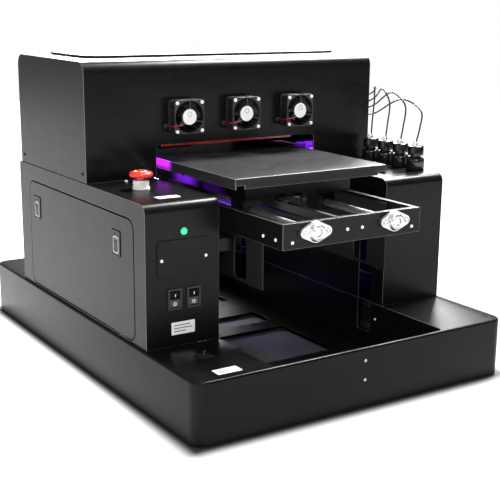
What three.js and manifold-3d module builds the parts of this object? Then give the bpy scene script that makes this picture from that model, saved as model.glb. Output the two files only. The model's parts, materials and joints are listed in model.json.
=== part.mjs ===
// Flatbed UV printer, built as separate sheet-metal and mechanical pieces.
// Millimetres, +Z up, the front faces -Y, the origin is on the floor under the middle of the base.
import * as THREE from "three";
import { mergeVertices } from "three/addons/utils/BufferGeometryUtils.js";
import Module from "manifold-3d";

const wasm = await Module();
wasm.setup();

// ---------- driving dimensions ----------
const GAP = 0.3;              // clearance between neighbouring pieces
const SHEET = 2;              // sheet-metal thickness
const BASE = { halfX: 315, halfY: 428, bottom: 2, top: 104.5, corner: 22, edge: 4, wall: 2.5 };
const WELL = { halfX: 174.5, halfY: 422, corner: 8 };
const FLOOR = { bottom: 6, top: 8.5, windowX: 126, windows: [[-181, -12], [30, 95], [198, 330]] };
const FOOT = { r: 20, x: 262, y: 372 };
const CABINET = {
  outerX: 309.5, innerX: 174.8, frontY: -260.5, backY: 273, top: 341, bend: 15, backBend: 6,
};
const HOOD = { halfX: 307.7, frontY: -40, backY: 265, top: 547, bend: 20 };
const HOOD_OPENING = { halfX: 172, top: 399, rearTop: 415, corner: 8 };
const SLOT = { near: 190, far: 227, bottom: 46, top: 290 };
const DOOR = { frontY: -222, backY: 226, bottom: 107, top: 312, corner: 20, gap: 2.5 };
const LATCH = { y: [-158, 187], z: 263, halfY: 15.5, halfZ: 20.5 };
const LID = { x0: -257, x1: 302, y0: 58, y1: 250, corner: 34, height: 4, rimInset: 19 };
const FAN = { half: 30, depth: 25, boreR: 28.4, hubR: 14.5, x: [-118, 1.5, 121], z: 448.5 };
const ESTOP = { x: -247, y: -127, rim: 15.5, height: 26.3 };
const BUTTON = { x: -241, z: 294 };
const COVER = { x: -241, z: 251, halfX: 48.2, halfZ: 30.5 };
const ROCKER = { x: [-258, -223.5], z: 184, halfX: 12.8, halfZ: 17.5 };
const LEVER = { x: -241, y: -325 };
const FRAME = { halfX: 139, frontY: -390, backY: 330, bottom: 275, top: 316.5, bar: 10, skirt: 202 };
const ROD = { r: 6, x: 80, z: 300 };
const BEARING = { earX: 22, earR: 8, bodyR: 17, flange: 9.5, bossR: 13.5, boss: 14.5 };
const CARRIAGE = { halfX: 110, frontY: -237, backY: 123, bottom: 324, top: 352, wall: 3 };
const BED = { halfX: 156, frontY: -279, backY: 161, bottom: 354, top: 372, wall: 3 };
const BRACKET = { endY: 318, bottom: 193, top: 312, thick: 3 };
const POST = { x: 215, y: 208.5, r: 6, bottom: 105.2, top: 330 };
const LIFT_MOTOR = { half: 28, bottom: 44 };
const BED_MOTOR = { half: 21, x: 12, length: 40 };
const BELT = { z: 297, r: 8, frontY: -360, backY: 290, halfWidth: 4, thick: 1.4 };
const BEAM = { halfX: 290, y0: 70, y1: 95, z0: 455, z1: 485 };
const HEAD = { x0: -160, x1: -50, y0: 2, z0: 392, z1: 470 };
const BOTTLE = { x: 290, y: [-204, -160, -116, -72], r: 17 };
const TUBE = {
  r: 1.6,
  inletY: 18,
  inletZ: 424,
  routes: [
    { lane: 304, crownY: -146, crownZ: 468, hoodZ: 431, endY: 2 },
    { lane: 299, crownY: -122, crownZ: 479, hoodZ: 448, endY: 16 },
    { lane: 294, crownY: -98, crownZ: 484, hoodZ: 462, endY: 30 },
    { lane: 289, crownY: -78, crownZ: 486, hoodZ: 476, endY: 44 },
  ],
};
const ROUND = 16;             // sides of a small round piece

// ---------- shapes ----------
function toManifold(geometry) {
  const g = geometry.clone();
  g.deleteAttribute("normal");
  g.deleteAttribute("uv");
  const m = mergeVertices(g, 1e-4);
  return new wasm.Manifold(new wasm.Mesh({
    numProp: 3,
    vertProperties: new Float32Array(m.attributes.position.array),
    triVerts: new Uint32Array(m.index.array),
  }));
}

function toGeometry(manifold) {
  const mesh = manifold.getMesh();
  const g = new THREE.BufferGeometry();
  g.setAttribute("position", new THREE.BufferAttribute(new Float32Array(mesh.vertProperties), 3));
  g.setIndex(new THREE.BufferAttribute(new Uint32Array(mesh.triVerts), 1));
  const flat = g.toNonIndexed();
  flat.computeVertexNormals();
  return flat;
}

const cut = (body, ...tools) => tools.reduce((a, b) => a.subtract(b), body);
const join = (body, ...more) => more.reduce((a, b) => a.add(b), body);

function block(x0, x1, y0, y1, z0, z1) {
  const g = new THREE.BoxGeometry(x1 - x0, y1 - y0, z1 - z0);
  g.translate((x0 + x1) / 2, (y0 + y1) / 2, (z0 + z1) / 2);
  return toManifold(g);
}

function arc(points, cx, cy, r, from, to, steps = 5) {
  for (let i = 0; i <= steps; i++) {
    const a = from + (to - from) * i / steps;
    points.push(new THREE.Vector2(cx + r * Math.cos(a), cy + r * Math.sin(a)));
  }
}

function roundedRect(x0, x1, y0, y1, r, steps = 5) {
  const p = [];
  const q = Math.PI / 2;
  arc(p, x1 - r, y0 + r, r, -q, 0, steps);
  arc(p, x1 - r, y1 - r, r, 0, q, steps);
  arc(p, x0 + r, y1 - r, r, q, 2 * q, steps);
  arc(p, x0 + r, y0 + r, r, 2 * q, 3 * q, steps);
  return p;
}

function extrude(points, depth, bevel = 0) {
  const options = { depth: depth - 2 * bevel, bevelEnabled: bevel > 0, steps: 1 };
  if (bevel > 0) {
    const chamfer = { bevelSize: bevel, bevelThickness: bevel, bevelOffset: -bevel, bevelSegments: 3 };
    Object.assign(options, chamfer);
  }
  const g = new THREE.ExtrudeGeometry(new THREE.Shape(points), options);
  g.translate(0, 0, bevel);
  return g;
}

// Extrusions of an outline in XY along Z, in YZ along X, and in XZ along Y.
function alongZ(points, z0, z1, bevel = 0) {
  const g = extrude(points, z1 - z0, bevel);
  g.translate(0, 0, z0);
  return toManifold(g);
}

function alongX(points, x0, x1) {
  const g = extrude(points, x1 - x0);
  g.applyMatrix4(new THREE.Matrix4().set(0, 0, 1, x0, 1, 0, 0, 0, 0, 1, 0, 0, 0, 0, 0, 1));
  return toManifold(g);
}

function alongY(points, y0, y1) {
  const g = extrude(points, y1 - y0);
  g.applyMatrix4(new THREE.Matrix4().set(1, 0, 0, 0, 0, 0, -1, y1, 0, 1, 0, 0, 0, 0, 0, 1));
  return toManifold(g);
}

// A round bar along one axis; (a, b) are its other two coordinates in X, Y, Z order.
function bar(axis, r, from, to, a, b, sides = ROUND) {
  const g = new THREE.CylinderGeometry(r, r, to - from, sides);
  const mid = (from + to) / 2;
  if (axis === "x") {
    g.rotateZ(-Math.PI / 2);
    g.translate(mid, a, b);
  } else if (axis === "y") {
    g.translate(a, mid, b);
  } else {
    g.rotateX(Math.PI / 2);
    g.translate(a, b, mid);
  }
  return toManifold(g);
}

// A turned piece: [radius, height] pairs starting and ending on the axis, axis along +Z.
function turned(profile, x, y, z, sides = 24) {
  const g = new THREE.LatheGeometry(profile.map(([r, h]) => new THREE.Vector2(r, h)), sides);
  g.rotateX(Math.PI / 2);
  g.translate(x, y, z);
  return toManifold(g);
}

// ---------- colours ----------
const paint = {
  black: 0x1b1b1d, darker: 0x111113, steel: 0xc9ccd0, zinc: 0xd8d9db, red: 0xc4161c, green: 0x1fbf5a,
  white: 0xe9e9e6, plastic: 0x0d0d0f, shield: 0xb01020, lamp: 0x6a3cff, rubber: 0x17181a, ink: 0x0e0e10,
};

const printer = new THREE.Group();
printer.name = "flatbed_uv_printer";

function place(name, body, colour) {
  const geometry = body.isBufferGeometry ? body : toGeometry(body);
  const mesh = new THREE.Mesh(geometry, new THREE.MeshStandardMaterial({ color: colour, name }));
  mesh.name = name;
  printer.add(mesh);
}

// ---------- base ----------
function baseTray() {
  const { halfX, halfY, bottom, top, corner, edge, wall } = BASE;
  const outline = roundedRect(-halfX, halfX, -halfY, halfY, corner);
  const outer = join(alongZ(outline, bottom, top, edge), alongZ(outline, bottom, bottom + 2 * edge));
  const inside = roundedRect(wall - halfX, halfX - wall, wall - halfY, halfY - wall, corner - wall);
  const inner = alongZ(inside, bottom - 1, top - wall);
  const walls = [-1, 1].map((s) => {
    const x = s * (WELL.halfX + wall / 2);
    return block(x - wall / 2, x + wall / 2, -halfY, halfY, FLOOR.top + GAP, top);
  });
  const well = roundedRect(-WELL.halfX, WELL.halfX, -WELL.halfY, WELL.halfY, WELL.corner);
  const opening = alongZ(well, 60, top + 5);
  const slots = [];
  for (const side of [-1, 1]) {
    const x = side * (WELL.halfX + wall / 2);
    for (const end of [-1, 1]) {
      const ys = [end * SLOT.near, end * SLOT.far].sort((a, b) => a - b);
      slots.push(block(x - wall, x + wall, ys[0], ys[1], SLOT.bottom, top + 5));
      slots.push(bar("z", POST.r + 2, top - 10, top + 5, side * POST.x, end * POST.y));
    }
  }
  return cut(outer, cut(inner, ...walls), opening, ...slots);
}

function floorPlate() {
  const x = BASE.halfX - BASE.wall - GAP;
  const y = BASE.halfY - BASE.wall - GAP;
  const plate = alongZ(roundedRect(-x, x, -y, y, BASE.corner - BASE.wall), FLOOR.bottom, FLOOR.top);
  const w = FLOOR.windowX;
  const windows = FLOOR.windows.map(([y0, y1]) => alongZ(roundedRect(-w, w, y0, y1, 8, 3), 0, 20));
  return cut(plate, ...windows);
}

function foot(x, y) {
  const top = FLOOR.bottom - GAP;
  return turned([[0, 0], [FOOT.r - 2, 0], [FOOT.r, 2], [FOOT.r, top], [0, top]], x, y, 0, 20);
}

// ---------- cabinets ----------
function cabinetProfile(inset, bottom) {
  const { frontY, backY, top, bend, backBend } = CABINET;
  const q = Math.PI / 2;
  const p = [];
  arc(p, frontY + bend, top - bend, bend - inset, 2 * q, q, 7);
  arc(p, backY - backBend, top - backBend, backBend - inset, q, 0, 3);
  p.push(new THREE.Vector2(backY - inset, bottom));
  p.push(new THREE.Vector2(frontY + inset, bottom));
  return p.reverse();
}

function cabinet(side) {
  const { outerX, innerX } = CABINET;
  const bottom = BASE.top + GAP;
  const xs = side < 0 ? [-outerX, -innerX] : [innerX, outerX];
  const shell = cut(alongX(cabinetProfile(0, bottom), xs[0], xs[1]),
    alongX(cabinetProfile(SHEET, bottom - 5), xs[0] + SHEET, xs[1] - SHEET));
  const mid = side * (outerX + innerX) / 2;
  const topHole = roundedRect(mid - 55, mid + 55, -25, 250, 10, 3);
  const tools = [alongZ(topHole, CABINET.top - 10, CABINET.top + 5)];
  for (const end of [-1, 1]) {
    const ys = [end * SLOT.near, end * SLOT.far].sort((a, b) => a - b);
    tools.push(block(side * innerX - 6, side * innerX + 6, ys[0], ys[1], 90, SLOT.top));
  }
  return cut(shell, ...tools);
}

function leftCabinet() {
  const front = CABINET.frontY;
  const tools = [
    alongX(roundedRect(DOOR.frontY, DOOR.backY, DOOR.bottom, DOOR.top, DOOR.corner), -320, -300),
    bar("y", 6, front - 5, front + 5, BUTTON.x, BUTTON.z, 24),
    bar("z", 9, CABINET.top - 5, CABINET.top + 5, ESTOP.x, ESTOP.y),
    ...ROCKER.x.map((x) => block(x - 10.5, x + 10.5, front - 5, front + 5,
      ROCKER.z - 15, ROCKER.z + 15)),
  ];
  return cut(cabinet(-1), ...tools);
}

function sideDoor() {
  const { frontY, backY, bottom, top, corner, gap } = DOOR;
  const outline = roundedRect(frontY + gap, backY - gap, bottom + gap, top - gap, corner - gap);
  const plate = alongX(outline, -CABINET.outerX, SHEET - CABINET.outerX);
  const holes = LATCH.y.map((y) => block(-320, -300, y - LATCH.halfY - 1, y + LATCH.halfY + 1,
    LATCH.z - LATCH.halfZ - 1, LATCH.z + LATCH.halfZ + 1));
  return cut(plate, ...holes);
}

function latch(y) {
  const x = -CABINET.outerX;
  const { z, halfY, halfZ } = LATCH;
  const outline = roundedRect(y - halfY, y + halfY, z - halfZ, z + halfZ, 3, 3);
  const plate = alongX(outline, x - 1.2, x + SHEET);
  const fingerSlot = block(x - 5, x + 0.6, y - 6, y + 6, z + 2, z + 15);
  return cut(plate, fingerSlot);
}

// ---------- hood ----------
function hoodProfile(inset, bottom) {
  const { frontY, backY, top, bend } = HOOD;
  const q = Math.PI / 2;
  const p = [];
  arc(p, frontY + bend, top - bend, bend - inset, 2 * q, q, 8);
  arc(p, backY - bend, top - bend, bend - inset, q, 0, 8);
  p.push(new THREE.Vector2(backY - inset, bottom));
  p.push(new THREE.Vector2(frontY + inset, bottom));
  return p.reverse();
}

function hood() {
  const bottom = CABINET.top + GAP;
  const { halfX, corner } = HOOD_OPENING;
  const shell = cut(alongX(hoodProfile(0, bottom), -HOOD.halfX, HOOD.halfX),
    alongX(hoodProfile(SHEET, bottom - 5), SHEET - HOOD.halfX, HOOD.halfX - SHEET));
  const doorway = (y0, y1, top) => alongY(roundedRect(-halfX, halfX, 300, top, corner, 4), y0, y1);
  const lidHole = alongZ(roundedRect(LID.x0 + 16, LID.x1 - 16, LID.y0 + 16, LID.y1 - 16, 18, 4),
    HOOD.top - 10, HOOD.top + 5);
  const fanHoles = FAN.x.map((x) => bar("y", 27, HOOD.frontY - 5, HOOD.frontY + 5, x, FAN.z, 24));
  const { inletY, inletZ } = TUBE;
  const tubeInlet = alongX(roundedRect(inletY - 22, inletY + 34, inletZ - 9, inletZ + 9, 8, 3),
    HOOD.halfX - 5, HOOD.halfX + 5);
  return cut(shell, doorway(HOOD.frontY - 5, HOOD.frontY + 5, HOOD_OPENING.top),
    doorway(HOOD.backY - 5, HOOD.backY + 5, HOOD_OPENING.rearTop), lidHole, tubeInlet, ...fanHoles);
}

function topLid() {
  const z = HOOD.top + GAP;
  const { x0, x1, y0, y1, corner, height, rimInset } = LID;
  const outline = (i, r) => roundedRect(x0 + i, x1 - i, y0 + i, y1 - i, r, 4);
  const plate = alongZ(roundedRect(x0, x1, y0, y1, corner), z, z + height);
  const rim = cut(alongZ(outline(rimInset, 16), z - 5, z + 1),
    alongZ(outline(rimInset + 2, 14), z - 6, z + 0.01));
  return join(plate, rim);
}

function uvShield() {
  return block(-160, 120, HOOD.frontY + SHEET + GAP, HOOD.frontY + SHEET + GAP + 3, 395.5, 412);
}

function fanFrame(x) {
  const y1 = HOOD.frontY - GAP;
  const y0 = y1 - FAN.depth;
  const h = FAN.half;
  const body = alongY(roundedRect(x - h, x + h, FAN.z - h, FAN.z + h, 5, 3), y0, y1);
  const bore = bar("y", FAN.boreR, y0 - 1, y1 + 1, x, FAN.z, 32);
  const wall = bar("y", FAN.boreR + 1.4, y0 - 1, y1 + 1, x, FAN.z, 32);
  const waist = [-1, 1].map((s) => block(x + s * 30 - 4, x + s * 30 + 4, y0 + 4, y1 - 4,
    FAN.z - 17, FAN.z + 17));
  const struts = [block(x - 29, x + 29, y0, y0 + 2.5, FAN.z - 1.6, FAN.z + 1.6),
    block(x - 1.6, x + 1.6, y0, y0 + 2.5, FAN.z - 29, FAN.z + 29)];
  const hub = bar("y", FAN.hubR, y0, y0 + 4, x, FAN.z, 24);
  return cut(join(cut(body, bore), ...struts, hub), ...waist.map((side) => cut(side, wall)));
}

function fanRotor(x) {
  const y1 = HOOD.frontY - GAP - 2;
  const y0 = HOOD.frontY - GAP - FAN.depth + 4.6;
  let rotor = bar("y", FAN.hubR - 0.5, y0, y1, x, FAN.z, 24);
  for (let i = 0; i < 7; i++) {
    const blade = new THREE.BoxGeometry(15, 1.2, 15.5);
    blade.rotateZ(0.75);
    blade.translate(0, (y0 + y1) / 2, 19.4);
    blade.rotateY(i * 2 * Math.PI / 7);
    blade.translate(x, 0, FAN.z);
    rotor = join(rotor, toManifold(blade).intersect(bar("y", FAN.boreR - 0.8, y0, y1, x, FAN.z, 32)));
  }
  return rotor;
}

// ---------- controls ----------
function estopCollar() {
  const z = CABINET.top + GAP;
  return turned([[8, 0], [14.5, 0], [14.5, 3], [13, 4], [13, 13], [11.5, 15.2], [8, 15.2], [8, 0]],
    ESTOP.x, ESTOP.y, z);
}

function estopHead() {
  const z = CABINET.top + GAP + 5;
  const { rim, height } = ESTOP;
  return turned([[0, 0], [7.4, 0], [7.4, rim], [17.5, rim], [19.8, rim + 2.6], [20, rim + 5],
    [18.6, height - 3.4], [14, height - 1.2], [7, height - 0.2], [0, height]], ESTOP.x, ESTOP.y, z);
}

function startButton() {
  const y = CABINET.frontY;
  return bar("y", 5.7, y - 4.2, y + 6, BUTTON.x, BUTTON.z, 24);
}

function coverPlate() {
  const { x, z, halfX, halfZ } = COVER;
  const y = CABINET.frontY - GAP;
  return alongY(roundedRect(x - halfX, x + halfX, z - halfZ, z + halfZ, 6, 4), y - 1.5, y);
}

function rockerBezel(x) {
  const y = CABINET.frontY - GAP;
  const { z, halfX, halfZ } = ROCKER;
  const rim = alongY(roundedRect(x - halfX, x + halfX, z - halfZ, z + halfZ, 2.5, 3), y - 2.2, y);
  const neck = block(x - 10.2, x + 10.2, y - 1, y + 12, z - 14.7, z + 14.7);
  return cut(join(rim, neck), block(x - 9.2, x + 9.2, y - 5, y + 14, z - 13.9, z + 13.9));
}

function rocker(x) {
  const y = CABINET.frontY;
  const side = [[-12.8, 5], [-12.8, -4.2], [0, -2.2], [12.8, -4.2], [12.8, 5]];
  const tilt = 0.12;
  const points = side.map(([z, dy]) => new THREE.Vector2(
    y + 1 + (dy - 1) * Math.cos(tilt) - z * Math.sin(tilt),
    ROCKER.z + (dy - 1) * Math.sin(tilt) + z * Math.cos(tilt)));
  return alongX(points.reverse(), x - 8.9, x + 8.9);
}

function deckLever() {
  const profile = [[0, -2.2], [2.2, -2.2], [3, 0], [2.2, 1.6], [2.4, 5.4], [1.8, 6.6], [0, 7]];
  const g = new THREE.LatheGeometry(profile.map(([r, h]) => new THREE.Vector2(r, h)), 12);
  g.rotateX(Math.PI / 2);
  g.rotateY(0.2);
  g.translate(LEVER.x, LEVER.y, BASE.top + 2.6);
  return toManifold(g);
}

// ---------- bed frame and its lift ----------
function yFrame() {
  const { halfX, frontY, backY, bottom, top, bar: t } = FRAME;
  const ring = cut(block(-halfX, halfX, frontY, backY, bottom, top),
    block(t - halfX, halfX - t, frontY + t, backY - t, bottom - 5, top + 5));
  const skirt = block(-halfX, halfX, backY - t, backY - t + 3, FRAME.skirt, bottom + 1);
  const bores = [-1, 1].map((s) => bar("y", ROD.r + GAP, frontY - 5, backY + 5, s * ROD.x, ROD.z));
  return cut(join(ring, skirt), ...bores);
}

function rod(side) {
  return bar("y", ROD.r, FRAME.frontY - 12, FRAME.backY - 1, side * ROD.x, ROD.z);
}

function flangeBearing(side) {
  const { earX, earR, bodyR, flange, bossR, boss } = BEARING;
  const y1 = FRAME.frontY - GAP;
  const x = side * ROD.x;
  const p = [];
  const lean = Math.acos((bodyR - earR) / earX);
  arc(p, earX, 0, earR, -lean, lean, 4);
  arc(p, 0, 0, bodyR, lean, Math.PI - lean, 5);
  arc(p, -earX, 0, earR, Math.PI - lean, Math.PI + lean, 4);
  arc(p, 0, 0, bodyR, Math.PI + lean, 2 * Math.PI - lean, 5);
  const outline = p.map((v) => new THREE.Vector2(x + v.x, ROD.z + v.y));
  const bolts = [-1, 1].map((s) => bar("y", 2.6, y1 - 20, y1 + 5, x + s * earX, ROD.z, 10));
  return cut(join(alongY(outline, y1 - flange, y1), bar("y", bossR, y1 - boss, y1 - 1, x, ROD.z, 20)),
    bar("y", ROD.r + GAP, y1 - 20, y1 + 5, x, ROD.z), ...bolts);
}

function liftBracket(side) {
  const { endY, bottom, top, thick } = BRACKET;
  const inner = FRAME.halfX - FRAME.bar - GAP;
  const range = (a, b) => [Math.min(side * a, side * b), Math.max(side * a, side * b)];
  const [x0, x1] = range(inner - thick, inner);
  let body = block(x0, x1, -endY, endY, bottom, top);
  const frontWindow = alongX(roundedRect(-270, -231, 197.5, 268, 9, 3), x0 - 5, x1 + 5);
  const middle = alongX(roundedRect(-150, 150, 205, 262, 12, 3), x0 - 5, x1 + 5);
  body = cut(body, frontWindow, middle);
  const [a0, a1] = range(inner - 1, POST.x + 20);
  const [b0, b1] = range(POST.x - 20, POST.x + 20);
  for (const end of [-1, 1]) {
    const y = end * POST.y;
    const arm = block(a0, a1, y - 12.5, y + 12.5, 240, 262);
    const sleeve = block(b0, b1, y - 17, y + 17, 232, 270);
    body = join(body, arm, sleeve).subtract(bar("z", POST.r + GAP, 220, 280, side * POST.x, y));
  }
  return body;
}

function post(side, end) {
  return bar("z", POST.r, POST.bottom, POST.top, side * POST.x, end * POST.y);
}

function liftMotor(side) {
  const x = side * POST.x;
  const y = -POST.y;
  const h = LIFT_MOTOR.half;
  const top = BASE.top - BASE.wall - GAP;
  return alongZ(roundedRect(x - h, x + h, y - h, y + h, 4, 2), LIFT_MOTOR.bottom, top);
}

// ---------- bed ----------
function bedCarriage() {
  const { halfX, frontY, backY, bottom, top, wall } = CARRIAGE;
  const tray = cut(block(-halfX, halfX, frontY, backY, bottom, top),
    block(wall - halfX, halfX - wall, frontY + wall, backY - wall, bottom - 5, top - wall));
  const parts = [block(-10, 10, -60, -20, BELT.z + BELT.r + BELT.thick + 0.4, top - 1)];
  const bores = [];
  for (const side of [-1, 1]) {
    const x = side * ROD.x;
    for (const y of [-190, 76]) {
      parts.push(block(x - 17, x + 17, y - 20, y + 20, ROD.z - 13, top - 1));
      parts.push(bar("z", 8, top - 1, BED.top - BED.wall - GAP, side * 92, y));
    }
    bores.push(bar("y", ROD.r + 0.08, -250, 140, x, ROD.z));
  }
  return cut(join(tray, ...parts), ...bores);
}

function bedTray() {
  const { halfX, frontY, backY, bottom, top, wall } = BED;
  const tray = cut(block(-halfX, halfX, frontY, backY, bottom, top),
    block(wall - halfX, halfX - wall, frontY + wall, backY - wall, bottom - 5, top - wall));
  const tabs = [];
  for (const side of [-1, 1]) {
    const xs = [side * 138, side * (halfX - wall)].sort((a, b) => a - b);
    tabs.push(block(xs[0], xs[1], frontY - 1, frontY + wall + 1, bottom - 1, bottom + 6));
    tabs.push(block(xs[0], xs[1], backY - wall - 1, backY + 1, bottom - 1, bottom + 6));
  }
  return cut(tray, ...tabs);
}

function yBelt() {
  const { z, r, frontY, backY, halfWidth, thick } = BELT;
  const loop = (radius) => {
    const p = [];
    arc(p, frontY, z, radius, 1.5 * Math.PI, 0.5 * Math.PI, 8);
    arc(p, backY, z, radius, 0.5 * Math.PI, -0.5 * Math.PI, 8);
    return p.reverse();
  };
  return cut(alongX(loop(r + GAP + thick), -halfWidth, halfWidth), alongX(loop(r + GAP), -10, 10));
}

function beltPulley(y, shaftTo) {
  const core = bar("x", BELT.r, -5, 5, y, BELT.z, ROUND);
  const shaft = bar("x", 2.5, shaftTo > 0 ? 4 : -11, shaftTo > 0 ? shaftTo : 11, y, BELT.z, 12);
  return join(core, shaft);
}

function idlerFork() {
  const y = BELT.frontY;
  const back = FRAME.frontY + FRAME.bar + GAP;
  const fork = block(-16, 16, back, y + 6, BELT.z - 12, BELT.z + 12);
  const space = block(-8, 8, back + 4, y + 10, BELT.z - 15, BELT.z + 15);
  return cut(fork, space, bar("x", 2.5 + GAP, -20, 20, y, BELT.z, 12));
}

function yMotor() {
  const y = BELT.backY;
  const { half, x, length } = BED_MOTOR;
  return alongX(roundedRect(y - half, y + half, BELT.z - half, BELT.z + half, 4, 2), x, x + length);
}

// ---------- print mechanism ----------
function printBeam() {
  const { halfX, y0, y1, z0, z1 } = BEAM;
  const bottom = CABINET.top + GAP;
  const parts = [-1, 1].map((s) => {
    const xs = [s * (halfX + 4), s * (halfX + 10)].sort((a, b) => a - b);
    return block(xs[0], xs[1], y0 - 14, y1 + 30, bottom, z1 + 8);
  });
  return join(block(-halfX - 6, halfX + 6, y0, y1, z0, z1), ...parts);
}

function printCarriage() {
  const { x0, x1, y0, z0, z1 } = HEAD;
  const back = BEAM.y0 - GAP;
  const body = block(x0, x1, y0, back, z0, z1);
  const neck = block(x0 + 12, x1 - 12, y0 + 20, back, z1 - 1, BEAM.z1 + 9);
  const hook = block(x0 + 12, x1 - 12, back - 1, BEAM.y1 + 8, BEAM.z1 + GAP, BEAM.z1 + 9);
  const nozzle = block(x0 + 22, x1 - 22, y0 + 10, back - 10, z0 - 8, z0 + 1);
  return join(body, neck, hook, nozzle);
}

function uvLamp() {
  const { x0, y0 } = HEAD;
  return block(x0 - 42, x0 - GAP, y0 - 6, BEAM.y0 - 4, 386, 436);
}

// ---------- ink supply ----------
function inkBottle(y) {
  const r = BOTTLE.r;
  return turned([[0, 0], [r - 1.5, 0], [r, 1.5], [r, 19], [r - 1.2, 22], [r - 5, 24.5], [r - 7.5, 25.5],
    [r - 7.5, 27.5], [r - 3, 28], [r - 1.4, 45], [r - 2.4, 46], [3.4, 46], [3.2, 51], [0, 51]],
  BOTTLE.x, y, CABINET.top + GAP, 20);
}

// Each tube rises from its bottle cap in its own lane, arches back and enters the hood's side.
function inkTube(index) {
  const y = BOTTLE.y[index];
  const top = CABINET.top + GAP + 51.5;
  const { lane, crownY, crownZ, hoodZ, endY } = TUBE.routes[index];
  const outside = HOOD.halfX + 8;
  const path = new THREE.CatmullRomCurve3([
    new THREE.Vector3(BOTTLE.x, y, top),
    new THREE.Vector3(BOTTLE.x + (lane - BOTTLE.x) * 0.4, y - 2, top + 26),
    new THREE.Vector3(lane, y + (crownY - y) * 0.18 - 6, top + (crownZ - top) * 0.74),
    new THREE.Vector3(lane, crownY, crownZ),
    new THREE.Vector3(outside, HOOD.frontY - 6, hoodZ),
    new THREE.Vector3(outside + 1, endY - 12, TUBE.inletZ + (hoodZ - TUBE.inletZ) * 0.3),
    new THREE.Vector3(outside - 4, endY - 1, TUBE.inletZ + 1),
    new THREE.Vector3(HOOD.halfX - 10, endY, TUBE.inletZ),
  ], false, "centripetal");
  const ring = [];
  for (let i = 0; i < 8; i++) {
    const a = i * Math.PI / 4;
    ring.push(new THREE.Vector2(TUBE.r * Math.cos(a), TUBE.r * Math.sin(a)));
  }
  return toManifold(new THREE.ExtrudeGeometry(new THREE.Shape(ring), { steps: 26, extrudePath: path }));
}

// ---------- assembly ----------
place("base_tray", baseTray(), paint.black);
place("floor_plate", floorPlate(), paint.darker);
for (const [yName, sy] of [["front", -1], ["rear", 1]]) {
  for (const [xName, sx] of [["left", -1], ["right", 1]]) {
    place(`foot_${yName}_${xName}`, foot(sx * FOOT.x, sy * FOOT.y), paint.rubber);
  }
}
place("left_cabinet", leftCabinet(), paint.black);
place("right_cabinet", cabinet(1), paint.black);
place("side_door", sideDoor(), paint.black);
place("latch_front", latch(LATCH.y[0]), paint.darker);
place("latch_rear", latch(LATCH.y[1]), paint.darker);
place("hood", hood(), paint.black);
place("top_lid", topLid(), paint.darker);
place("uv_shield", uvShield(), paint.shield);
FAN.x.forEach((x, i) => {
  place("fan_frame_" + (i + 1), fanFrame(x), paint.plastic);
  place("fan_rotor_" + (i + 1), fanRotor(x), paint.plastic);
});
place("estop_collar", estopCollar(), paint.white);
place("estop_head", estopHead(), paint.red);
place("start_button", startButton(), paint.green);
place("cover_plate", coverPlate(), paint.black);
ROCKER.x.forEach((x, i) => {
  place("rocker_bezel_" + (i + 1), rockerBezel(x), paint.plastic);
  place("rocker_" + (i + 1), rocker(x), paint.plastic);
});
place("deck_lever", deckLever(), paint.plastic);
place("bed_frame", yFrame(), paint.black);
place("rod_left", rod(-1), paint.steel);
place("rod_right", rod(1), paint.steel);
place("flange_bearing_left", flangeBearing(-1), paint.zinc);
place("flange_bearing_right", flangeBearing(1), paint.zinc);
place("lift_bracket_left", liftBracket(-1), paint.darker);
place("lift_bracket_right", liftBracket(1), paint.darker);
place("lead_screw_left", post(-1, -1), paint.steel);
place("lead_screw_right", post(1, -1), paint.steel);
place("guide_shaft_left", post(-1, 1), paint.steel);
place("guide_shaft_right", post(1, 1), paint.steel);
place("lift_motor_left", liftMotor(-1), paint.plastic);
place("lift_motor_right", liftMotor(1), paint.plastic);
place("bed_carriage", bedCarriage(), paint.black);
place("bed_tray", bedTray(), paint.black);
place("bed_belt", yBelt(), paint.rubber);
place("drive_pulley", beltPulley(BELT.backY, 11.6), paint.steel);
place("idler_pulley", beltPulley(BELT.frontY, 0), paint.steel);
place("idler_fork", idlerFork(), paint.steel);
place("bed_motor", yMotor(), paint.plastic);
place("print_beam", printBeam(), paint.steel);
place("print_carriage", printCarriage(), paint.plastic);
place("uv_lamp", uvLamp(), paint.lamp);
BOTTLE.y.forEach((y, i) => place("ink_bottle_" + (i + 1), inkBottle(y), paint.ink));
BOTTLE.y.forEach((y, i) => place("ink_tube_" + (i + 1), inkTube(i), paint.ink));

export default printer;
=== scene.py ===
"""Flatbed UV printer, the finished look. Metres, +Z up, the front faces -Y."""
import json
import math

import bmesh
import bpy
from mathutils import Matrix, Vector


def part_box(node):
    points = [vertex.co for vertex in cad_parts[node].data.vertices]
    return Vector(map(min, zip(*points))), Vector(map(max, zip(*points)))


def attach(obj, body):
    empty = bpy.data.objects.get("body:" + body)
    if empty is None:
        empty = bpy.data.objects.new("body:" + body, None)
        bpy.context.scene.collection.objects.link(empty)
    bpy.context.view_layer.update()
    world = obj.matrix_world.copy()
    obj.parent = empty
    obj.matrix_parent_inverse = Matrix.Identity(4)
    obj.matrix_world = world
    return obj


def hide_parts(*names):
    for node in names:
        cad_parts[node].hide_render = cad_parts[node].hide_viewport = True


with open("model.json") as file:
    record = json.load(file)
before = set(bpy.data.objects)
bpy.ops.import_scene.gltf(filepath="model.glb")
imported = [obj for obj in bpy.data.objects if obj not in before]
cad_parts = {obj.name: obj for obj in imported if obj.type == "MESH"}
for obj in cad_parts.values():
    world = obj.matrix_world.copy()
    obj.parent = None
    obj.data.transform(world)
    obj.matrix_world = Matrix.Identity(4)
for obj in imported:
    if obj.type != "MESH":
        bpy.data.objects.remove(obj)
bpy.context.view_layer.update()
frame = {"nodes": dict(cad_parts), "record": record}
NODES = frame["nodes"]

MM = 0.001

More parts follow.
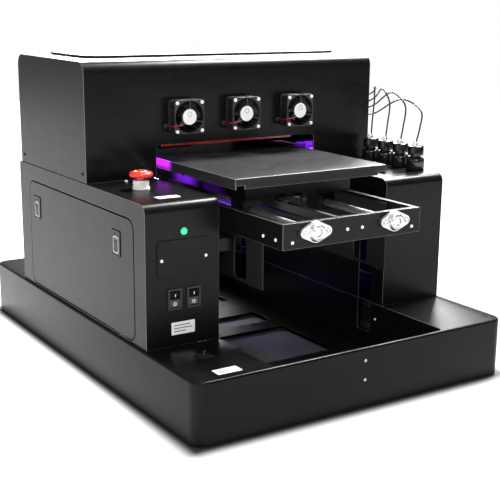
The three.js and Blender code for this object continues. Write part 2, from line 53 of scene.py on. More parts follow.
# ---------- faces of the machine that details sit on, in millimetres ----------
DECK_TOP = 104.5
CABINET_FRONT = -260.5
CABINET_TOP = 341.0
CABINET_REAR = 273.0
CABINET_RIGHT = 309.5
FRAME_FRONT = -390.0
FRAME_REAR = 330.0


def mm(x, y, z):
    """A point given in millimetres."""
    return Vector((x, y, z)) * MM


# ---------- camera ----------
CAMERA = {
    "azimuth": math.radians(-32.84),
    "elevation": math.radians(13.6),
    "roll": math.radians(0.48),
    "target": mm(-125.7, -276.8, 252),
    "distance": 1.6916,
    "lens": 74.35,
}


def make_camera():
    az, el = CAMERA["azimuth"], CAMERA["elevation"]
    back = Vector((math.sin(az) * math.cos(el), -math.cos(az) * math.cos(el), math.sin(el)))
    data = bpy.data.cameras.new("camera")
    data.lens = CAMERA["lens"]
    data.sensor_width = 36
    data.clip_start = 0.05
    data.clip_end = 60
    cam = bpy.data.objects.new("camera", data)
    bpy.context.scene.collection.objects.link(cam)
    cam.rotation_mode = "QUATERNION"
    right = Vector((math.cos(az), math.sin(az), 0))
    up = back.cross(right)
    turn = Matrix((right, up, back)).transposed().to_quaternion()
    roll = Matrix.Rotation(CAMERA["roll"], 3, "Z").to_quaternion()
    cam.rotation_quaternion = turn @ roll
    cam.location = CAMERA["target"] + back * CAMERA["distance"]
    bpy.context.scene.camera = cam


make_camera()


# ---------- materials ----------
class Nodes:
    """The node tree of one material, with short ways to add and link nodes."""

    def __init__(self, name):
        self.material = bpy.data.materials.new(name)
        self.material.use_nodes = True
        self.tree = self.material.node_tree
        self.shader = self.tree.nodes["Principled BSDF"]
        self.place = self.add("ShaderNodeTexCoord").outputs["Object"]

    def add(self, kind, **values):
        node = self.tree.nodes.new(kind)
        for key, value in values.items():
            setattr(node, key, value)
        return node

    def link(self, source, target):
        self.tree.links.new(source, target)

    def noise(self, scale, detail=3.0, stretch=None):
        node = self.add("ShaderNodeTexNoise")
        node.inputs["Scale"].default_value = scale
        node.inputs["Detail"].default_value = detail
        if stretch:
            mapping = self.add("ShaderNodeMapping")
            mapping.inputs["Scale"].default_value = stretch
            self.link(self.place, mapping.inputs["Vector"])
            self.link(mapping.outputs["Vector"], node.inputs["Vector"])
        else:
            self.link(self.place, node.inputs["Vector"])
        return node.outputs["Fac"]

    def ramp(self, factor, low, high, start=0.3, end=0.7):
        node = self.add("ShaderNodeValToRGB")
        node.color_ramp.elements[0].position = start
        node.color_ramp.elements[1].position = end
        node.color_ramp.elements[0].color = (*low, 1)
        node.color_ramp.elements[1].color = (*high, 1)
        self.link(factor, node.inputs["Fac"])
        return node.outputs["Color"]

    def spread(self, factor, low, high):
        node = self.add("ShaderNodeMapRange")
        node.inputs["From Min"].default_value = 0.3
        node.inputs["From Max"].default_value = 0.7
        node.inputs["To Min"].default_value = low
        node.inputs["To Max"].default_value = high
        self.link(factor, node.inputs["Value"])
        return node.outputs["Result"]

    def span(self, value, start, end, top):
        """Rises smoothly from nothing to top while the value goes from start to end."""
        node = self.add("ShaderNodeMapRange", interpolation_type="SMOOTHSTEP")
        node.inputs["From Min"].default_value = start
        node.inputs["From Max"].default_value = end
        node.inputs["To Max"].default_value = top
        self.link(value, node.inputs["Value"])
        return node.outputs["Result"]

    def bump(self, height, depth, strength=1.0):
        node = self.add("ShaderNodeBump")
        node.inputs["Distance"].default_value = depth
        node.inputs["Strength"].default_value = strength
        self.link(height, node.inputs["Height"])
        self.link(node.outputs["Normal"], self.shader.inputs["Normal"])


def surface(name, colour, roughness, grain=900, depth=0.03, vary=0.12, rough_vary=0.06,
            stretch=None, cloud=18, **sockets):
    """A procedural finish: clouded colour, uneven gloss and a fine surface grain of depth millimetres."""
    n = Nodes(name)
    low = [c * (1 - vary) for c in colour]
    high = [min(1, c * (1 + vary)) for c in colour]
    n.link(n.ramp(n.noise(cloud, 4), low, high), n.shader.inputs["Base Color"])
    n.link(n.spread(n.noise(cloud * 3.1, 4), roughness - rough_vary, roughness + rough_vary),
           n.shader.inputs["Roughness"])
    n.bump(n.noise(grain, 2, stretch), depth * MM)
    for key, value in sockets.items():
        n.shader.inputs[key.replace("_", " ")].default_value = value
    return n.material


BLACK = (0.0042, 0.0042, 0.0045)
MATERIAL = {
    "paint": surface("black_powder_paint", BLACK, 0.29, grain=1300, depth=0.007, rough_vary=0.02,
                     Specular_IOR_Level=0.14),
    # A lighter grey for bevel faces: a painted highlight along the edges.
    "edge_highlight": surface("painted_edge_highlight", (0.09, 0.09, 0.094), 0.35, grain=900, depth=0.01),
    "bed_paint": surface("bed_paint", (0.018, 0.018, 0.019), 0.42, grain=1500, depth=0.02,
                         Specular_IOR_Level=0.13),
    "dark_steel": surface("dark_steel", (0.012, 0.012, 0.013), 0.5, grain=800, depth=0.03,
                          Specular_IOR_Level=0.2),
    "chrome": surface("ground_steel", (0.78, 0.79, 0.80), 0.42, grain=500, depth=0.004, rough_vary=0.04,
                      stretch=(1, 0.02, 1), Metallic=1.0),
    "zinc": surface("cast_zinc", (0.72, 0.73, 0.74), 0.34, grain=420, depth=0.09, Metallic=1.0),
    "aluminium": surface("brushed_aluminium", (0.70, 0.71, 0.72), 0.36, grain=700, depth=0.02,
                         stretch=(0.03, 1, 1), Metallic=1.0),
    "chrome_z": surface("ground_steel_upright", (0.78, 0.79, 0.80), 0.14, grain=500, depth=0.004,
                        rough_vary=0.04, stretch=(1, 1, 0.02), Metallic=1.0),
    "bright_screw": surface("bright_screw", (0.9, 0.9, 0.9), 0.42, grain=900, depth=0.01, vary=0.03),
    "motor": surface("motor_laminations", (0.015, 0.015, 0.016), 0.4, grain=500, depth=0.05,
                     stretch=(0.02, 1, 1)),
    "wire_red": surface("red_wire", (0.35, 0.008, 0.008), 0.4, grain=700, depth=0.01),
    "wire_black": surface("black_wire", (0.012, 0.012, 0.012), 0.4, grain=700, depth=0.01),
    "screw": surface("screw_steel", (0.66, 0.66, 0.67), 0.3, grain=900, depth=0.01, Metallic=1.0),
    "black_screw": surface("black_screw", (0.02, 0.02, 0.02), 0.35, grain=900, depth=0.01, Metallic=0.6),
    "plastic": surface("moulded_black_plastic", (0.011, 0.011, 0.012), 0.42, grain=1800, depth=0.03),
    "gloss_plastic": surface("gloss_black_plastic", (0.008, 0.008, 0.009), 0.2, grain=300, depth=0.02),
    "tube": surface("black_tube", (0.010, 0.010, 0.011), 0.3, grain=600, depth=0.01),
    "rubber": surface("black_rubber", (0.02, 0.02, 0.021), 0.75, grain=1200, depth=0.06),
    "white_plastic": surface("white_plastic", (0.80, 0.80, 0.79), 0.35, grain=900, depth=0.01, vary=0.03),
    "label": surface("label_paper", (0.82, 0.82, 0.80), 0.55, grain=2200, depth=0.008, vary=0.02),
    "print": surface("label_print", (0.22, 0.22, 0.23), 0.6, grain=2200, depth=0.008),
    "red": surface("red_plastic", (0.72, 0.035, 0.018), 0.26, grain=700, depth=0.01, vary=0.06,
                   Coat_Weight=0.4, Coat_Roughness=0.1),
    "green": surface("green_lens", (0.02, 0.55, 0.22), 0.22, grain=900, depth=0.01, vary=0.05,
                     Emission_Color=(0.05, 0.9, 0.35, 1), Emission_Strength=0.5),
    # The faint red emission is a painted glow; the shield is no lamp.
    "shield": surface("red_shield", (0.55, 0.008, 0.02), 0.2, grain=300, depth=0.01, vary=0.05,
                      Transmission_Weight=0.35, Emission_Color=(0.8, 0.01, 0.03, 1),
                      Emission_Strength=0.01),
    "lamp_glass": surface("lamp_glass", (0.4, 0.2, 0.9), 0.2, grain=300, depth=0.01,
                          Emission_Color=(0.22, 0.03, 1.0, 1), Emission_Strength=25.0),
}

PAINT_OF = {
    "paint": ["base_tray", "left_cabinet", "right_cabinet", "side_door", "hood", "top_lid", "cover_plate",
              "bed_frame", "bed_carriage", "floor_plate", "latch_front", "latch_rear"],
    "bed_paint": ["bed_tray"],
    "dark_steel": ["lift_bracket_left", "lift_bracket_right"],
    "chrome": ["rod_left", "rod_right", "guide_shaft_left", "guide_shaft_right", "lead_screw_left",
               "lead_screw_right"],
    "zinc": ["flange_bearing_left", "flange_bearing_right"],
    "aluminium": ["idler_fork", "drive_pulley", "idler_pulley", "print_beam", "uv_lamp"],
    "plastic": ["fan_frame_1", "fan_frame_2", "fan_frame_3", "fan_rotor_1", "fan_rotor_2", "fan_rotor_3",
                "rocker_bezel_1", "rocker_bezel_2", "rocker_1", "rocker_2", "print_carriage",
                "lift_motor_left", "lift_motor_right", "bed_motor", "deck_lever"],
    "gloss_plastic": ["ink_bottle_1", "ink_bottle_2", "ink_bottle_3", "ink_bottle_4"],
    "rubber": ["foot_front_left", "foot_front_right", "foot_rear_left", "foot_rear_right", "bed_belt"],
    "white_plastic": ["estop_collar"],
    "red": ["estop_head"],
    "green": ["start_button"],
    "shield": ["uv_shield"],
}
SLOT_OF = {s["node"]: s["material_slot"] for s in frame["record"]["subparts"]}
# Bevel widths in millimetres; the bevel faces of these parts also get the lighter edge grey, a painted
# highlight.
EDGE = {
    "bed_tray": 1.2, "bed_frame": 0.8, "base_tray": 0.6,
    "left_cabinet": 0.7, "right_cabinet": 0.7, "hood": 0.8, "top_lid": 0.8,
}


def dress_cad():
    """The sheet-metal solids show as they are, with their edges broken and their own paint; on the parts in
    EDGE the bevel faces take a lighter grey, a painted highlight along the edges.
    """
    for key, names in PAINT_OF.items():
        for name in names:
            obj = NODES[name]
            obj.data.materials.clear()
            obj.data.materials.append(MATERIAL[key])
            # Slot 1 holds the bevel faces: the lighter edge grey on the parts in EDGE, a painted highlight.
            obj.data.materials.append(MATERIAL["edge_highlight" if name in EDGE else key])
            for attribute in ("custom_normal", "sharp_face", "sharp_edge"):
                if attribute in obj.data.attributes:
                    obj.data.attributes.remove(obj.data.attributes[attribute])
            for face in obj.data.polygons:
                face.use_smooth = True
            weld = obj.modifiers.new("weld", "WELD")
            weld.merge_threshold = 0.00001
            flat = obj.modifiers.new("flat", "DECIMATE")
            flat.decimate_type = "DISSOLVE"
            flat.angle_limit = math.radians(1)
            edge = obj.modifiers.new("edge", "BEVEL")
            edge.width = EDGE.get(name, 0.4) * MM
            edge.segments = 2
            # The bevel faces take slot 1, which carries the painted edge highlight on the EDGE parts.
            edge.material = 1
            edge.limit_method = "ANGLE"
            edge.angle_limit = math.radians(32)
            edge.harden_normals = True
            edge.use_clamp_overlap = False


# ---------- mesh helpers: every shape is given in millimetres ----------
PLANE = {
    "x": lambda u, v, w: (w, u, v),
    "y": lambda u, v, w: (u, w, v),
    "z": lambda u, v, w: (u, v, w),
}
AXIS = {"x": Vector((1, 0, 0)), "y": Vector((0, 1, 0)), "z": Vector((0, 0, 1))}


def towards(axis, centre):
    """Turns local +Z to an axis such as '-y' and moves it to a centre."""
    way = AXIS[axis[1]] * (-1 if axis[0] == "-" else 1)
    turn = way.to_track_quat("Z", "Y").to_matrix().to_4x4()
    return Matrix.Translation(mm(*centre)) @ turn @ Matrix.Scale(MM, 4)


def loft(bm, rings, wrap=False):
    """Closed rings of equally many points, skinned one to the next, with flat ends or wrapped round."""
    made = [[bm.verts.new(mm(*p)) for p in ring] for ring in rings]
    pairs = list(zip(made, made[1:]))
    if wrap:
        pairs.append((made[-1], made[0]))
    for a, b in pairs:
        for i in range(len(a)):
            j = (i + 1) % len(a)
            bm.faces.new((a[i], a[j], b[j], b[i]))
    if not wrap:
        bm.faces.new(made[0][::-1])
        bm.faces.new(made[-1])


def slab(bm, outline, axis, start, end, hole=None):
    """An outline extruded along an axis, with a hole of as many points if one is given."""
    at = PLANE[axis]
    outer = [[at(u, v, w) for u, v in outline] for w in (start, end)]
    if hole is None:
        loft(bm, outer)
    else:
        inner = [[at(u, v, w) for u, v in hole] for w in (end, start)]
        loft(bm, outer + inner, wrap=True)


def arc(cu, cv, r, start, end, steps):
    """Points of an arc, with its angles in degrees."""
    angles = [math.radians(start + (end - start) * i / steps) for i in range(steps + 1)]
    return [(cu + r * math.cos(a), cv + r * math.sin(a)) for a in angles]


def rounded(u, v, half_u, half_v, r, steps=6):
    """The outline of a rounded rectangle."""
    points = []
    corners = [(1, -1, -90), (1, 1, 0), (-1, 1, 90), (-1, -1, 180)]
    for su, sv, start in corners:
        points += arc(u + su * (half_u - r), v + sv * (half_v - r), r, start, start + 90, steps)
    return points


def block(bm, x, y, z):
    """A box from three (low, high) pairs."""
    slab(bm, [(x[0], y[0]), (x[1], y[0]), (x[1], y[1]), (x[0], y[1])], "z", z[0], z[1])


def turned(bm, profile, axis, centre, sides=48, wrap=False):
    """A turned shape from (radius, height) pairs, which start and end on the axis unless it wraps round."""
    matrix = towards(axis, centre)
    rings = []
    for r, h in profile:
        count = sides if r > 0 else 1
        turn = [2 * math.pi * i / count for i in range(count)]
        rings.append([bm.verts.new(matrix @ Vector((r * math.cos(a), r * math.sin(a), h))) for a in turn])
    pairs = list(zip(rings, rings[1:]))
    if wrap:
        pairs.append((rings[-1], rings[0]))
    for a, b in pairs:
        for i in range(sides):
            j = (i + 1) % sides
            if len(a) == 1:
                bm.faces.new((a[0], b[j], b[i]))
            elif len(b) == 1:
                bm.faces.new((a[i], a[j], b[0]))
            else:
                bm.faces.new((a[i], a[j], b[j], b[i]))


def piece(name, bm, material, body, slot=None, edge=0.0, replaces=(), smooth=35):
    """Turns a bmesh into a finished piece, smooth where it is round; edge is the width of its bevels."""
    bmesh.ops.recalc_face_normals(bm, faces=bm.faces)
    mesh = bpy.data.meshes.new(name)
    bm.to_mesh(mesh)
    bm.free()
    mesh.materials.append(MATERIAL[material])
    for face in mesh.polygons:
        face.use_smooth = True
    obj = bpy.data.objects.new(name, mesh)
    bpy.context.scene.collection.objects.link(obj)
    if edge > 0:
        bevel = obj.modifiers.new("edge", "BEVEL")
        bevel.width = edge * MM
        bevel.segments = 3
        bevel.limit_method = "ANGLE"
        bevel.angle_limit = math.radians(smooth)
        bevel.harden_normals = True
    else:
        mesh.set_sharp_from_angle(angle=math.radians(smooth))
    if replaces:
        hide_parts(*replaces)
        slot = slot or SLOT_OF[replaces[0]]
    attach(obj, body)
    return obj


def body_of(node):
    """The body that a CAD node rides on."""
    bodies = frame["record"]["behaviour"]["bodies"]
    return next(body for body, names in bodies.items() if node in names)


def span(node):
    """A CAD node's (low, high) pairs along X, Y and Z, in millimetres."""
    low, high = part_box(node)
    return [(low[i] / MM, high[i] / MM) for i in range(3)]


def middle(pair):
    return (pair[0] + pair[1]) / 2


def rod_profile(r, length, chamfer=0.5):
    """A plain rod's profile, with chamfered ends and a centre drilled in each."""
    pit = r * 0.22
    return [(0, pit), (pit, 0), (r - chamfer, 0), (r, chamfer), (r, length - chamfer),
            (r - chamfer, length), (pit, length), (0, length - pit)]


def screw_head(r, h):
    """A round head with a socket in it."""
    return [(0, 0), (r, 0), (r, h * 0.45), (r * 0.93, h * 0.8), (r * 0.7, h), (r * 0.48, h),
            (r * 0.44, h * 0.5), (0, h * 0.42)]


def screws(name, spots, axis, r, material, body, h=None):
    """One piece holding a row of equal screw heads."""
    bm = bmesh.new()
    for spot in spots:
        turned(bm, screw_head(r, h or r * 0.55), axis, spot, 24)
    return piece(name, bm, material, body)


# ---------- ink tubes: the cords ----------
BOTTLE_X = 290
BOTTLE_Y = (-204, -160, -116, -72)
BOTTLE_TOP = 392.8
HOOD_SIDE = 307.7
HOOD_FRONT = -40
INLET_Z = 424
TUBE_ROUTES = (  # lane x, crown y, crown z, height beside the hood, y of the end
    (304, -146, 468, 431, 2),
    (299, -122, 479, 448, 16),
    (294, -98, 484, 462, 30),
    (289, -78, 486, 476, 44),
)
TUBE_D = 3.2


def tube_points(index):
    """The same route as the solid tube: up from the cap, over in its own lane, into the hood."""
    lane, crown_y, crown_z, hood_z, end_y = TUBE_ROUTES[index]
    y = BOTTLE_Y[index]
    return [
        (BOTTLE_X, y, BOTTLE_TOP),
        (BOTTLE_X + (lane - BOTTLE_X) * 0.4, y - 2, BOTTLE_TOP + 26),
        (lane, y + (crown_y - y) * 0.18 - 6, BOTTLE_TOP + (crown_z - BOTTLE_TOP) * 0.74),
        (lane, crown_y, crown_z),
        (HOOD_SIDE + 8, HOOD_FRONT - 6, hood_z),
        (HOOD_SIDE + 9, end_y - 12, INLET_Z + (hood_z - INLET_Z) * 0.3),
        (HOOD_SIDE + 4, end_y - 1, INLET_Z + 1),
        (HOOD_SIDE - 10, end_y, INLET_Z),
    ]


def smooth_route(points, steps=8):
    """A centripetal Catmull-Rom curve through the points, the same kind as the solid tubes follow."""
    knots = [Vector(p) for p in points]
    knots = [2 * knots[0] - knots[1]] + knots + [2 * knots[-1] - knots[-2]]
    route = []
    for a, b, c, d in zip(knots, knots[1:], knots[2:], knots[3:]):
        before, here, after = [math.sqrt((q - p).length) for p, q in ((a, b), (b, c), (c, d))]
        leave = (b - a) / before * here - (c - a) / (before + here) * here + (c - b)
        arrive = (c - b) - (d - b) / (here + after) * here + (d - c) / after * here
        for i in range(steps):
            t = i / steps
            route.append(b * (1 + 2 * t) * (1 - t) ** 2 + leave * t * (1 - t) ** 2
                         + c * t * t * (3 - 2 * t) + arrive * t * t * (t - 1))
    return route + [knots[-2]]


def wire(name, points, diameter, material, body, sides=6):
    """A round wire or tube along a smooth route given in millimetres."""
    curve = bpy.data.curves.new(name, "CURVE")
    curve.dimensions = "3D"
    curve.bevel_depth = diameter / 2 * MM
    curve.bevel_resolution = sides
    curve.use_fill_caps = True
    route = smooth_route(points)
    spline = curve.splines.new("POLY")
    spline.points.add(len(route) - 1)
    for knot, point in zip(spline.points, route):
        knot.co = (*mm(*point), 1)
    curve.materials.append(MATERIAL[material])
    obj = bpy.data.objects.new(name, curve)
    bpy.context.scene.collection.objects.link(obj)
    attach(obj, body)
    return obj


def ink_tubes():
    for i, y in enumerate(BOTTLE_Y):
        tube = wire(f"tube_{i + 1}", tube_points(i), TUBE_D, "tube", "chassis")
        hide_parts(f"ink_tube_{i + 1}")


# ---------- cooling fans ----------
FAN_HUB = 14.5
FAN_BORE = 28.2


def square_ring(half, r, sides=64):
    """Points round a rounded square about (0, 0), one per equal step of angle."""
    points = []
    for i in range(sides):
        a = 2 * math.pi * i / sides
        c, s = abs(math.cos(a)), abs(math.sin(a))
        reach = half / max(c, s)
        if min(c, s) * reach > half - r:
            k = (half - r) * (c + s)
            reach = k + math.sqrt(k * k - 2 * (half - r) ** 2 + r * r)
        points.append((reach * math.cos(a), reach * math.sin(a)))
    return points


def turn_angles(count):
    """Equal steps once round, in radians."""
    return [2 * math.pi * i / count for i in range(count)]


def circle(r, sides=64):
    return [(r * math.cos(a), r * math.sin(a)) for a in turn_angles(sides)]


def shifted(points, u, v):
    return [(p + u, q + v) for p, q in points]


def fan_frame(number):
    xs, ys, zs = span(f"fan_frame_{number}")
    x, z = middle(xs), middle(zs)
    front, back = ys
    bm = bmesh.new()
    outer = shifted(square_ring(30, 6), x, z)
    bore = shifted(circle(FAN_BORE), x, z)
    wall = shifted(circle(FAN_BORE + 1.5), x, z)
    for start, end in ((front, front + 4), (back - 4, back)):
        slab(bm, outer, "y", start, end, bore)
    slab(bm, wall, "y", front + 3.9, back - 3.9, bore)
    for su in (-1, 1):
        for sv in (-1, 1):
            corner = (x + su * 24.6, front + 3.9, z + sv * 24.6)
            turned(bm, [(0, 0), (4.4, 0), (4.4, 17.2), (0, 17.2)], "+y", corner, 24)
    turned(bm, [(0, 0), (FAN_HUB - 1.2, 0), (FAN_HUB, 1.2), (FAN_HUB, 3.8), (0, 3.8)], "+y", (x, front, z))
    for angle in (80, -28, 208):
        strut = []
        for r in (FAN_HUB - 1, FAN_BORE + 1):
            a = math.radians(angle + (r - FAN_HUB) * 0.5)
            cu, cv = x + r * math.cos(a), z + r * math.sin(a)
            du, dv = -1.4 * math.sin(a), 1.4 * math.cos(a)
            ring = [(cu + du, front + 0.6, cv + dv), (cu + du, front + 3.4, cv + dv),
                    (cu - du, front + 3.4, cv - dv), (cu - du, front + 0.6, cv - dv)]
            strut.append(ring)
        loft(bm, strut)
    piece(f"fan_body_{number}", bm, "plastic", "chassis", edge=0.5, replaces=[f"fan_frame_{number}"])


def fan_blade(bm, x, y, z, start):
    """One swept and twisted blade between the hub and the bore, 1.4 mm thick."""
    rows = []
    for i in range(7):
        t = i / 6
        r = 13.2 + (27.2 - 13.2) * t
        half = math.radians(21 - 3 * t)
        rise = 7.6 - 2.2 * t
        sweep = start + 0.35 * t * t
        front_side, back_side = [], []
        for j in range(7):
            s = j / 6 * 2 - 1
            a = sweep + s * half
            depth = rise * (s + 0.25 * (1 - s * s))
            thick = 0.85 * (1 - 0.6 * s * s)
            front_side.append((x + r * math.cos(a), y + depth - thick, z + r * math.sin(a)))
            back_side.append((x + r * math.cos(a), y + depth + thick, z + r * math.sin(a)))
        rows.append(front_side + back_side[::-1])
    loft(bm, rows)


def fan_rotor(number):
    xs, ys, zs = span(f"fan_rotor_{number}")
    x, z = middle(xs), middle(zs)
    bm = bmesh.new()
    length = ys[1] - ys[0]
    profile = [(0, 0), (12.6, 0), (13.8, 1.2), (13.8, length - 0.6), (13.2, length), (0, length)]
    turned(bm, profile, "+y", (x, ys[0], z))
    for start in turn_angles(7):
        fan_blade(bm, x, middle(ys), z, start)
    node = f"fan_rotor_{number}"
    piece(f"fan_blades_{number}", bm, "plastic", node, replaces=[node])


def fan_trim(number):
    """The blank hub sticker, the four mounting screws and the two leads."""
    xs, ys, zs = span(f"fan_frame_{number}")
    x, z, front = middle(xs), middle(zs), ys[0]
    bm = bmesh.new()
    turned(bm, [(0, 0), (FAN_HUB - 0.7, 0), (FAN_HUB - 0.9, 0.25), (0, 0.25)], "-y", (x, front - 0.02, z))
    piece(f"fan_sticker_{number}", bm, "label", "chassis")
    bm = bmesh.new()
    outer, inner = [shifted(circle(r, 40), x, z + 5) for r in (4.4, 3.5)]
    slab(bm, outer, "y", front - 0.42, front - 0.28, inner)
    piece(f"fan_sticker_mark_{number}", bm, "print", "chassis")
    spots = [(x + su * 25, front, z + sv * 25) for su in (-1, 1) for sv in (-1, 1)]
    screws(f"fan_screws_{number}", spots, "-y", 3.1, "bright_screw", "chassis", 2.2)
    for i, colour in enumerate(("wire_red", "wire_black")):
        drop = 1.7 * i
        route = [(x - 8, front + 1.2, z - 10 - drop), (x - 17, front - 1.1, z - 13.4 - drop),
                 (x - 27, front - 1.2, z - 14.6 - drop), (x - 31.6, front + 3, z - 15.2 - drop),
                 (x - 32.4, front + 14, z - 16 - drop), (x - 33.2, front + 24.5, z - 16.4 - drop),
                 (x - 33.6, front + 28.5, z - 16.5 - drop)]
        wire(f"fan_lead_{number}_{i + 1}", route, 1.5, colour, "chassis")
    bm = bmesh.new()
    turned(bm, [(1.9, 0), (4.4, 0), (4.4, 0.7), (3.7, 1.4), (1.9, 1.4)], "-y",
           (x - 33.6, HOOD_FRONT, z - 17.3), 32, wrap=True)
    piece(f"fan_grommet_{number}", bm, "rubber", "chassis")


# ---------- controls ----------
def control_knob():
    """The emergency stop: a ribbed pale collar and a red mushroom head with a dished top."""
    xs, ys, zs = span("estop_collar")
    x, y, z = middle(xs), middle(ys), zs[0]
    bm = bmesh.new()
    turned(bm, [(8.2, 0), (14.5, 0), (14.5, 3.2), (13.6, 3.8), (12.4, 4), (12.4, 12.6), (11.6, 15),
                (8.2, 15)], "+z", (x, y, z), 64, wrap=True)
    for a in turn_angles(20):
        turned(bm, [(0, 0), (1.1, 0), (1.1, 9.4), (0.5, 10.2), (0, 10.2)], "+z",
               (x + 12.5 * math.cos(a), y + 12.5 * math.sin(a), z + 3.6), 12)
    piece("estop_ribbed_collar", bm, "white_plastic", "chassis", replaces=["estop_collar"])
    xs, ys, zs = span("estop_head")
    top = zs[1] - zs[0]
    rim = 15.5
    bm = bmesh.new()
    cap = [(17.2, 0), (18.8, 0.5), (19.7, 2), (20, 3.8), (19.8, 5.4), (19, 7), (17.4, 8.3), (15, 9.2),
           (12, 9.9), (8, 10.4)]
    profile = [(0, 0), (7.4, 0), (7.4, rim)] + [(r, rim + h) for r, h in cap] + [(4, top), (0, top)]
    turned(bm, profile, "+z", (middle(xs), middle(ys), zs[0]), 72)
    piece("estop_mushroom", bm, "red", "estop_head", replaces=["estop_head"])
    bm = bmesh.new()
    for i in range(3):
        start = 120 * i
        inner = arc(0, 0, 9.2, start, start + 62, 10)
        outer = arc(0, 0, 11.2, start + 62, start, 10)
        tip = []
        for r, degrees in ((6.6, 62), (10.6, 84), (13.8, 62)):
            a = math.radians(start + degrees)
            tip.append((r * math.cos(a), r * math.sin(a)))
        rings = []
        for lift in (-0.4, 0.18):
            top = zs[1] + lift
            rings.append([(x + u, y + v, top - 0.0075 * (u * u + v * v)) for u, v in inner + tip + outer])
        loft(bm, rings)
    piece("estop_arrows", bm, "white_plastic", "estop_head")


def start_button():
    xs, ys, zs = span("start_button")
    x, z = middle(xs), middle(zs)
    length = ys[1] - ys[0]
    bm = bmesh.new()
    turned(bm, [(0, 0), (5.6, 0), (5.6, length - 1.2), (5, length - 0.5), (3.4, length - 0.1), (0, length)],
           "-y", (x, ys[1], z), 48)
    piece("start_lens", bm, "green", "start_button", replaces=["start_button"])
    bm = bmesh.new()
    turned(bm, [(5.9, 0), (8.3, 0), (8.3, 1.2), (7.8, 2.0), (6.4, 2.2), (5.9, 1.8)], "-y",
           (x, CABINET_FRONT - 0.1, z), 48, wrap=True)
    piece("start_button_bezel", bm, "plastic", "chassis", "black_plastic")


def cover():
    xs, ys, zs = span("cover_plate")
    spots = [(x, ys[0], 250) for x in (xs[0] + 8, xs[1] - 8)]
    screws("cover_plate_screws", spots, "-y", 2.6, "bright_screw", "chassis", 1.4)


KEY_HALF = 12.8     # half the height of a rocker's key
KEY_TILT = 0.12     # radians it is tipped at rest


def rocker_switch(number):
    xs, ys, zs = span(f"rocker_bezel_{number}")
    x, z, front = middle(xs), middle(zs), ys[0]
    bm = bmesh.new()
    slab(bm, rounded(x, z, 12.8, 17.5, 2.2), "y", front, front + 2.2, rounded(x, z, 9.3, 13.9, 0.8))
    slab(bm, rounded(x, z, 10.2, 14.7, 1.2), "y", front + 2.1, front + 14, rounded(x, z, 9.3, 13.9, 0.8))
    piece(f"rocker_surround_{number}", bm, "plastic", "chassis", edge=0.6,
          replaces=[f"rocker_bezel_{number}"])

    def tilted(h, d):
        """Turns height and depth in the key's own frame to Y and Z."""
        y = CABINET_FRONT + 1 + d * math.cos(KEY_TILT) - h * math.sin(KEY_TILT)
        return y, z + d * math.sin(KEY_TILT) + h * math.cos(KEY_TILT)

    def valley(h):
        """Depth of the key's face, which dips in the middle."""
        return -(1 + 3.2 - 2 * (1 - abs(h) / KEY_HALF))

    node = f"rocker_{number}"
    bm = bmesh.new()
    outline = []
    for i in range(13):
        h = KEY_HALF * (i / 6 - 1)
        outline.append(tilted(h, valley(h) + 0.2 * (1 - abs(h) / KEY_HALF) ** 2))
    outline += [tilted(KEY_HALF, 4), tilted(-KEY_HALF, 4)]
    slab(bm, outline, "x", x - 8.8, x + 8.8)
    piece(f"rocker_key_{number}", bm, "gloss_plastic", node, edge=0.5, replaces=[node], smooth=50)
    bm = bmesh.new()
    bar = []
    for h in (4.6, 9.8):
        near, far = tilted(h, valley(h) - 0.12), tilted(h, valley(h) + 0.5)
        bar.append([(x - 0.8, *near), (x + 0.8, *near), (x + 0.8, *far), (x - 0.8, *far)])
    loft(bm, bar)
    rings = []
    for r, sink in ((2.9, -0.12), (2.9, 0.5), (1.9, 0.5), (1.9, -0.12)):
        ring = []
        for u, v in circle(r, 24):
            ring.append((x + u, *tilted(v - 7.4, valley(v - 7.4) + sink)))
        rings.append(ring)
    loft(bm, rings, wrap=True)
    piece(f"rocker_marks_{number}", bm, "white_plastic", node)


def deck_lever():
    x, y, z = -241, -325, DECK_TOP
    bm = bmesh.new()
    slab(bm, rounded(x, y, 12.5, 12.5, 2), "z", z, z + 1.1, rounded(x, y, 4.6, 4.6, 4.5))
    turned(bm, [(3.4, 0), (6.6, 0), (6.6, 1.6), (5.6, 2.4), (3.9, 2.4), (3.4, 2)], "+z",
           (x, y, z + 1), 40, wrap=True)
    piece("lever_bezel", bm, "dark_steel", "chassis", edge=0.25)
    spots = [(x + s * 9.3, y + s * 9.3, z + 1.1) for s in (-1, 1)]
    screws("lever_screws", spots, "+z", 1.8, "black_screw", "chassis")
    bm = bmesh.new()
    turned(bm, [(0, -2.2), (2.2, -2.2), (2.9, -1), (2.9, 0.2), (2.2, 1.6), (2.4, 5), (2.1, 6.2),
                (1.4, 6.9), (0, 7)], "+z", (0, 0, 0), 32)
    turn = Matrix.Translation(mm(x, y, z + 2.6)) @ Matrix.Rotation(0.2, 4, "Y")
    bmesh.ops.transform(bm, matrix=turn, verts=bm.verts)
    piece("lever_arm", bm, "gloss_plastic", "deck_lever", replaces=["deck_lever"])


# ---------- blank stickers ----------
def sticker(name, axis, u, v, w, half_u, half_v, lines):
    """A blank label: a thin rounded sheet with a few plain grey bars; w is the face it is stuck on."""
    out = -1 if axis == "y" else 1
    bm = bmesh.new()
    slab(bm, rounded(u, v, half_u, half_v, 1.2, 4), axis, w, w + out * 0.2)
    piece(name, bm, "label", "chassis")
    bm = bmesh.new()
    for du, dv, bar_u in lines:
        slab(bm, rounded(u + du, v + dv, bar_u, 1.0, 0.3, 2), axis, w + out * 0.18, w + out * 0.26)
    piece(name + "_bars", bm, "print", "chassis")


def stickers():
    three_bars = [(-2, 5, 15), (0, 0, 17), (-6, -5, 11)]
    sticker("front_sticker", "y", -242.5, 134.5, CABINET_FRONT, 21.5, 10.5, three_bars)
    sticker("deck_sticker", "z", -244, -399, DECK_TOP, 21.5, 11, three_bars)
    sticker("top_sticker", "z", -243, -213, CABINET_TOP, 20, 9, [(0, 3, 15), (-4, -3, 11)])


